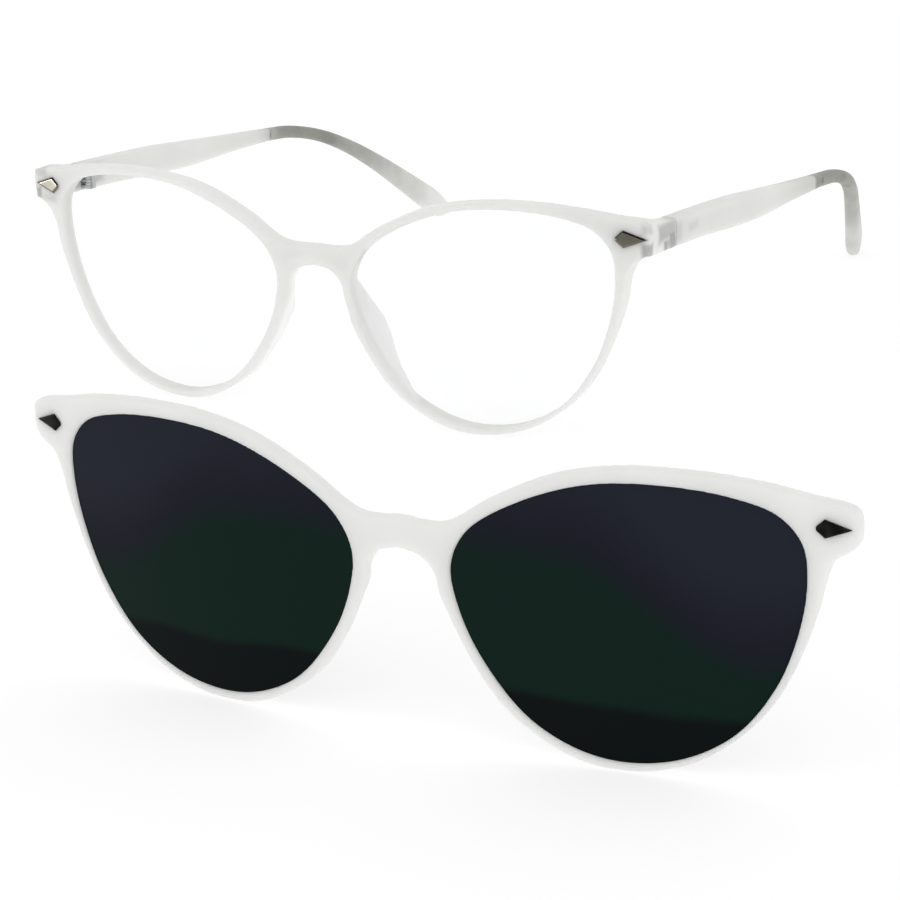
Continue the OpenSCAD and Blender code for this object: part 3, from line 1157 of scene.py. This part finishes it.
@dataclass(frozen=True)
class NosePad:
    """Moulded pad that flows back from the nasal rim of the left lens."""

    front_knots: Knots = (
        (6.4, 2.6), (7.3, -3), (9.8, -8.5), (13.4, -14), (16.6, -17.6), (17.6, -16.8), (14.9, -13.2),
        (11.8, -8.4), (9.8, -3.4), (9, 2.6), (7.8, 3.8),
    )
    reach_knots: Knots = (
        (-18.6, 2), (-17, 4.4), (-14.6, 5.2), (-12.4, 6.1), (-10, 7.2), (-6.6, 7.9), (-4.2, 7.7), (-2, 6.6),
        (0, 4.9), (2.8, 3), (5.4, 2),
    )
    root: float = 3.3
    least: float = 0.3
    pivot_y: float = 3.0
    splay: float = 12.0
    steps: int = 6

    def skin(self) -> Skin:
        """The pad, splayed about its pivot.

        Returns:
            The pad from inside the rim to its back edge.
        """
        loop = smooth_curve(self.front_knots, self.steps, closed=True)
        reach = smooth_curve(self.reach_knots, self.steps, closed=False)
        cos, sin = math.cos(math.radians(self.splay)), math.sin(math.radians(self.splay))
        back = np.interp(loop[:, 1], reach[:, 0], reach[:, 1])
        rings = []
        for y in (np.full(len(loop), self.root), np.maximum(back, self.root + self.least)):
            run = (y - self.pivot_y + loop[:, 0] * sin) / cos
            rings.append(np.stack([loop[:, 0] * cos + run * sin, y, loop[:, 1]], axis=1))
        return Skin.lofted(rings)


@dataclass(frozen=True)
class Endpiece:
    """Side wall that turns back from the left corner of the front to the seam."""

    wall_x: tuple[float, float] = (64.3, 67.9)
    side_view: Knots = ((6.4, 18.7), (10.5, 18.5), (18, 16.95), (18, 11.8), (10, 12.4), (6.4, 12.8))
    gusset: Knots = ((62.8, 8.8), (64.32, 8.8), (64.32, 11))
    gusset_z: tuple[float, float] = (12.8, 18.6)

    def skins(self) -> list[Skin]:
        """The wall, and the gusset in its inner corner.

        Returns:
            Both skins.
        """
        wall = [np.array([(x, y, z) for y, z in self.side_view]) for x in self.wall_x]
        web = [np.array([(x, y, z) for x, y in self.gusset]) for z in self.gusset_z]
        return [Skin.lofted(wall), Skin.lofted(web)]


@dataclass(frozen=True)
class FrontFrame:
    """The glasses' front: rims, bridge, endpieces and nose pads in one moulding."""

    wall: FrontWall = FrontWall(
        RimShape(saddle=6.5, trim=0.7), near=0.0, far=3.7, groove_y=(1.2, 2.8), easing=Easing(), rounds=26,
        brow=((7.5, 0.8), (7.1, 4), (5.4, 7.05), (0, 8.1)),
    )
    seat: RivetSeat = RivetSeat(
        KiteShape(length=6.0, height=3.2), mouth=-2.0, floor=0.55, magnet_x=63.0, magnet_y=(0.5, 1.6)
    )
    pad: NosePad = NosePad()
    endpiece: Endpiece = Endpiece()
    leaf: Box = ((64.85, 12.9, 12.55), (65.95, 18.2, 15.45))
    neck: Box = ((63.3, 16.8, 12.35), (64.95, 18.2, 15.65))

    def make(self, finish: FrostedPlastic) -> None:
        """Builds the moulding and puts it in the place of its solid.

        Args:
            finish: What it is dressed with.
        """
        pockets = [*self.seat.cutters(), Skin.block(*self.leaf), Skin.block(*self.neck)]
        skin = self.wall.moulded([self.pad.skin(), *self.endpiece.skins()], pockets)
        thing = skin.piece("front_moulding")
        dressed(thing, finish.material(), Body.FRONT, "front_frame")


@dataclass(frozen=True)
class ClipFrame:
    """The sun clip-on's flat front, with a lug at each upper corner."""

    wall: FrontWall = FrontWall(
        RimShape(saddle=6.2, trim=0.0), near=-2.7, far=-0.5, groove_y=(-2.15, -1.05),
        easing=Easing(rim=0.3, pad=0, corner=0, bridge=0), rounds=12,
    )
    seat: RivetSeat = RivetSeat(
        KiteShape(length=4.9, height=2.7), mouth=-5.0, floor=-2.25, magnet_x=64.5, magnet_y=(-1.5, 0.5)
    )

    def make(self, finish: FrostedPlastic) -> None:
        """Builds the moulding where it rests and puts it in the place of its solid.

        Args:
            finish: What it is dressed with.
        """
        skin = self.wall.moulded([], self.seat.cutters()).mapped(lambda p: p + CLIP_REST)
        thing = skin.piece("clip_moulding")
        dressed(thing, finish.material(), Body.CLIP_ON, "clip_frame")


@dataclass(frozen=True)
class LensPair:
    """The two lenses of the glasses or of the clip-on, domed and ground to sit in their grooves."""

    rim: RimShape
    near: float
    far: float
    twins: Twins
    dome: float = 0.5
    grow: float = 0.55
    bevel: float = 0.12
    core: float = 0.02
    rings: int = 16

    def skin(self) -> Skin:
        """The left lens at the face.

        Returns:
            Its closed skin.
        """
        edge = self.rim.opening(Side.LEFT, self.grow)
        slim = self.rim.opening(Side.LEFT, self.grow - self.bevel)
        middle = np.array([self.rim.lens_x, 0.0])

        def ring(share: float, depth: float) -> Points:
            """One ring of a face, which rises towards the middle of the lens."""
            return at_depth(middle + (slim - middle) * share, depth - self.dome * (1 - share * share))

        shares = np.sin(np.linspace(self.core, 1, self.rings) * math.pi / 2)
        rings = [ring(share, self.near) for share in shares]
        rings += [at_depth(edge, self.near + self.bevel), at_depth(edge, self.far - self.bevel)]
        rings += [ring(share, self.far) for share in shares[::-1]]
        return Skin.lofted(rings).mapped(WRAP.bent)

    def make(self, finish: ClearLens | TintedLens) -> None:
        """Builds both lenses and puts them in the place of their solids."""
        self.twins.make(self.skin(), finish.material())


@dataclass(frozen=True)
class KiteRivets:
    """The kite-shaped rivets of the glasses or of the clip-on."""

    kite: KiteShape
    face: float
    back: float
    twins: Twins
    chamfer: float = 0.24

    def make(self, finish: BrushedMetal) -> list[Thing]:
        """Builds both rivets, puts them in the place of their solids and gives them back."""
        return self.twins.make(self.kite.plate(self.face, self.back, self.chamfer), finish.material())


@dataclass(frozen=True)
class CurvedBar:
    """Bar with round corners along a middle line, whose knots also give half its height and thickness."""

    knots: Knots
    corner: float
    steps: int = 10

    def rings(self) -> list[Points]:
        """Cross-sections square to the middle line.

        Returns:
            The rings from its start to its end.
        """
        mid = smooth_curve(self.knots, self.steps, closed=False)
        path = mid[:, :3]
        run = np.gradient(path, axis=0)
        run /= np.linalg.norm(run, axis=1, keepdims=True)
        out = []
        for point, along, half_h, half_t in zip(path, run, mid[:, 3], mid[:, 4]):
            up = np.array([0, -along[2], along[1]])
            up /= np.linalg.norm(up)
            across = np.cross(along, up)
            across /= np.linalg.norm(across)
            up = np.cross(across, along)
            section = rounded_bar(half_h, half_t, self.corner)
            out.append(point + section[:, :1] * up + section[:, 1:] * across)
        return out


@dataclass(frozen=True)
class Temple:
    """Frosted blade from the seam to the rubber tip, with the hinge leaf let into it."""

    seam_y: float = 18.1
    seam_rings: int = 3
    bar: CurvedBar = CurvedBar(
        (
            (66.1, 18.1, 14.4, 2.75, 1.75), (66.1, 31, 13.1, 2.8, 1.7), (66.1, 45, 11.4, 2.95, 1.6),
            (66.1, 58, 9.8, 2.65, 1.5), (66, 72, 8.45, 1.95, 1.35), (65.7, 88, 6.8, 1.35, 1.2),
        ),
        corner=0.8,
    )
    leaf: Box = ((64.85, 17.9, 12.55), (65.95, 24.6, 15.45))
    neck: Box = ((63.3, 17.9, 12.35), (64.95, 19.3, 15.65))
    twins: Twins = Twins("blade", Slot.FROSTED_PLASTIC, "{}_temple")

    def skin(self) -> Skin:
        """The left blade, cut flat at the seam.

        Returns:
            The blade with its pockets.
        """
        rings = self.bar.rings()
        for ring in rings[: self.seam_rings]:
            ring[:, 1] = np.maximum(ring[:, 1], self.seam_y)
        return Skin.lofted(rings).without(Skin.block(*self.leaf), Skin.block(*self.neck))

    def make(self, finish: FrostedPlastic) -> None:
        """Builds both blades and puts them in the place of their solids."""
        self.twins.make(self.skin(), finish.material())


@dataclass(frozen=True)
class TempleTip:
    """Rubber sleeve that bends down and in behind the ear and ends in a paddle."""

    lip: float = 0.12
    lip_run: float = 0.15
    nose: float = 0.6
    turns: int = 4
    bar: CurvedBar = CurvedBar(
        (
            (65.7, 88, 6.8, 1.4, 1.35), (65.2, 97, 5.4, 1.35, 1.4), (63.7, 107, 2.3, 1.35, 1.4),
            (61.4, 115.4, -2.1, 1.5, 1.4), (58.6, 123, -7.6, 1.85, 1.4), (55.5, 131, -14.3, 2.4, 1.4),
            (53, 137.4, -19.9, 2.7, 1.4), (51.9, 140.2, -22.4, 1.9, 1.3), (51.6, 140.9, -23, 0.8, 1.2),
        ),
        corner=1.15,
    )
    twins: Twins = Twins("sleeve", Slot.RUBBER, "{}_temple_tip")

    def skin(self) -> Skin:
        """The left tip, with a broken lip, a round nose and a flat foot.

        Returns:
            Its closed skin.
        """
        rings = self.bar.rings()
        first, last = rings[0], rings[-1]
        start = first.mean(axis=0)
        rings.insert(0, start + (first - start) * (1 - self.lip))
        rings[1] = first + (rings[2] - first) * self.lip_run
        end = last.mean(axis=0)
        ahead = end - rings[-2].mean(axis=0)
        ahead *= self.nose / np.linalg.norm(ahead)
        for turn in np.linspace(0, math.pi / 2, self.turns + 2)[1:-1]:
            rings.append(end + (last - end) * math.cos(turn) + ahead * math.sin(turn))
        for ring in rings:
            ring[:, 2] = np.maximum(ring[:, 2], FLOOR_Z)
        return Skin.lofted(rings)

    def make(self, finish: TipRubber) -> None:
        """Builds both tips and puts them in the place of their solids."""
        self.twins.make(self.skin(), finish.material())


@dataclass(frozen=True)
class CarriedNodes:
    """Left and right solids that show as they are, with broken edges and a finish.

    Their names have a gap for the side.
    """

    names: tuple[str, ...]
    bevel: float = 0.05
    crease: float = 35.0
    weld: float = 1e-3

    def dress(self, finish: BrushedMetal) -> None:
        """Gives each solid its finish and breaks its edges.

        Args:
            finish: What they are dressed with.
        """
        skin = finish.material()
        for name in (name.format(side.word) for name in self.names for side in Side):
            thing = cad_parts[name]
            for slot in thing.material_slots:
                slot.material = skin
            weld = thing.modifiers.new("weld", "WELD")
            weld.merge_threshold = self.weld * MM
            edges = thing.modifiers.new("edges", "BEVEL")
            edges.width = self.bevel * MM
            edges.segments = 2
            edges.limit_method = "ANGLE"
            edges.angle_limit = math.radians(self.crease)
            LOG.info("dressed %s as %s", name, finish.name)


@dataclass(frozen=True)
class Lamp:
    """One soft square lamp that looks at the glasses."""

    name: str
    place: Triple
    size: float
    power: float
    target: Triple = (40.0, 0.0, 0.0)

    def hang(self, glints: Sequence[Thing] = ()) -> None:
        """Hangs the lamp.

        Args:
            glints: Pieces that reflect it, when it is there only for its reflection.
        """
        light = bpy.data.lights.new(self.name, "AREA")
        light.size = self.size * MM
        light.energy = self.power
        thing = bpy.data.objects.new(self.name, light)
        thing.location = Vector(self.place) * MM
        thing.visible_glossy = bool(glints)
        if glints:
            lit = bpy.data.collections.new(self.name + "_pieces")
            for piece in glints:
                lit.objects.link(piece)
            thing.light_linking.receiver_collection = lit
        look = Vector(self.target) * MM - thing.location
        thing.rotation_euler = look.to_track_quat("-Z", "Y").to_euler()
        bpy.context.scene.collection.objects.link(thing)


@dataclass(frozen=True)
class Studio:
    """Pale floor, soft lamps, white backdrop and the camera."""

    key: Lamp = Lamp("key_lamp", (-450, -500, 650), 600, 0.35)
    fill: Lamp = Lamp("fill_lamp", (700, -250, 450), 500, 0.25)
    glint: Lamp = Lamp("glint_lamp", (-337, -211, 30), 150, 2.0)
    sky: float = 0.82
    floor_half: float = 4000.0
    floor_glow: float = 0.66
    floor_tone: float = 0.42
    eye: Triple = (312.496, -488.637, 168.511)
    back: Triple = (0.475512, -0.816971, 0.326262)
    right: Triple = (0.871903, 0.486979, -0.051347)
    focal: float = 127.4
    sensor: float = 36.0
    sight: tuple[float, float] = (0.01, 20.0)

    def backdrop(self) -> None:
        """White all round for the camera and for reflections, and a soft sky for light."""
        world = bpy.data.worlds.new("studio_sky")
        bpy.context.scene.world = world
        sheet = NodeSheet(world)
        path = sheet.node("LightPath").outputs
        seen = sheet.greatest(*(path[f"Is {ray} Ray"] for ray in ("Camera", "Glossy", "Transmission")))
        sky, white = (sheet.node("Background", {"Color": WHITE, "Strength": strength}).outputs[0]
                      for strength in (self.sky, 1.0))
        sheet.finished("MixShader", {0: seen, 1: sky, 2: white})

    def floor(self) -> None:
        """White table top that keeps a soft shadow."""
        corners = ((-1, -1), (1, -1), (1, 1), (-1, 1))
        points = np.array([(self.floor_half * x, self.floor_half * y, FLOOR_Z) for x, y in corners])
        table = Skin(points, [range(len(corners))]).piece("table_top")
        sheet = NodeSheet.named("white_table")
        shade = sheet.node("BsdfDiffuse", {"Color": (self.floor_tone,) * 3})
        glow = sheet.node("Emission", {"Color": WHITE, "Strength": self.floor_glow})
        table.data.materials.append(sheet.finished("AddShader", {0: shade.outputs[0], 1: glow.outputs[0]}))

    def camera(self) -> None:
        """The camera at the photo's viewing angle, turned to take in both pieces."""
        lens = bpy.data.cameras.new("camera")
        lens.lens = self.focal
        lens.sensor_width = self.sensor
        lens.clip_start, lens.clip_end = self.sight
        thing = bpy.data.objects.new("camera", lens)
        back, right = Vector(self.back).normalized(), Vector(self.right).normalized()
        turn = Matrix((right, back.cross(right), back)).transposed().to_4x4()
        thing.matrix_world = Matrix.Translation(Vector(self.eye) * MM) @ turn
        bpy.context.scene.collection.objects.link(thing)
        bpy.context.scene.camera = thing

    def make(self, glints: Sequence[Thing]) -> None:
        """Sets up the whole studio.

        Args:
            glints: The pieces that the glint lamp reaches.
        """
        self.backdrop()
        self.floor()
        self.key.hang()
        self.fill.hang()
        self.glint.hang(glints)
        self.camera()
        bpy.context.scene.view_settings.view_transform = "Standard"
        LOG.info("set up the studio")


def main() -> None:
    logging.basicConfig(level=logging.INFO, format="%(name)s: %(message)s")
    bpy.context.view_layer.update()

    brushed, plain = (3, 1, 6), (1, 1, 1)
    # the gunmetal's dark up-facing edges are painted shade
    gunmetal = BrushedMetal("gunmetal", (0.18, 0.17, 0.14), (0.145, 0.14, 0.115), (0.32, 0.4), brushed,
                            painted_upper_shade=(0.01, 0.01, 0.008))
    black = BrushedMetal("black_metal", (0.006, 0.006, 0.006), (0.02, 0.02, 0.018), (0.3, 0.42), brushed)
    steel = BrushedMetal("hinge_steel", (0.55, 0.56, 0.57), (0.46, 0.47, 0.48))
    screw = BrushedMetal("screw_steel", (0.42, 0.42, 0.42), (0.34, 0.34, 0.34), (0.2, 0.3), plain)
    plating = BrushedMetal("magnet_plating", (0.66, 0.66, 0.68), (0.56, 0.56, 0.58), (0.12, 0.22), plain)
    blade = FrostedPlastic("frosted_blade", tone=(0.755, 0.755, 0.74), cloud=(0.73, 0.73, 0.715),
                           metal_and_shade_tint=(0.25, 0.255, 0.222), shades=BLADE_SHADES)

    front, clip = FrontFrame(), ClipFrame()
    front.make(FrostedPlastic(shades=CORNER_SHADES, thin=PAD_PAINTED_LIGHT))
    clip.make(FrostedPlastic("frosted_clip"))
    clear = Twins("clear_lens", Slot.CLEAR_LENS, "{}_lens", Body.FRONT, crease=35)
    LensPair(front.wall.rim, near=1.25, far=2.75, twins=clear).make(ClearLens())
    tinted = Twins("tinted_lens", Slot.TINTED_LENS, "clip_{}_lens", Body.CLIP_ON, CLIP_REST, crease=35)
    LensPair(clip.wall.rim, near=-2.1, far=-1.1, twins=tinted, dome=0.4).make(TintedLens())
    twins = Twins("front_kite", Slot.GUNMETAL, "{}_front_rivet", Body.FRONT, crease=8)
    kites = KiteRivets(front.seat.kite, face=-0.25, back=0.5, twins=twins).make(gunmetal)
    twins = Twins("clip_kite", Slot.BLACK_METAL, "clip_{}_rivet", Body.CLIP_ON, CLIP_REST, crease=8)
    KiteRivets(clip.seat.kite, face=-2.95, back=-2.3, twins=twins).make(black)
    Temple().make(blade)
    TempleTip().make(TipRubber())
    CarriedNodes(("{}_front_hinge", "{}_temple_hinge")).dress(steel)
    CarriedNodes(("{}_hinge_screw",), bevel=0.06).dress(screw)
    CarriedNodes(("{}_front_magnet", "clip_{}_magnet")).dress(plating)
    Studio().make(kites)


if __name__ == "__main__":
    main()
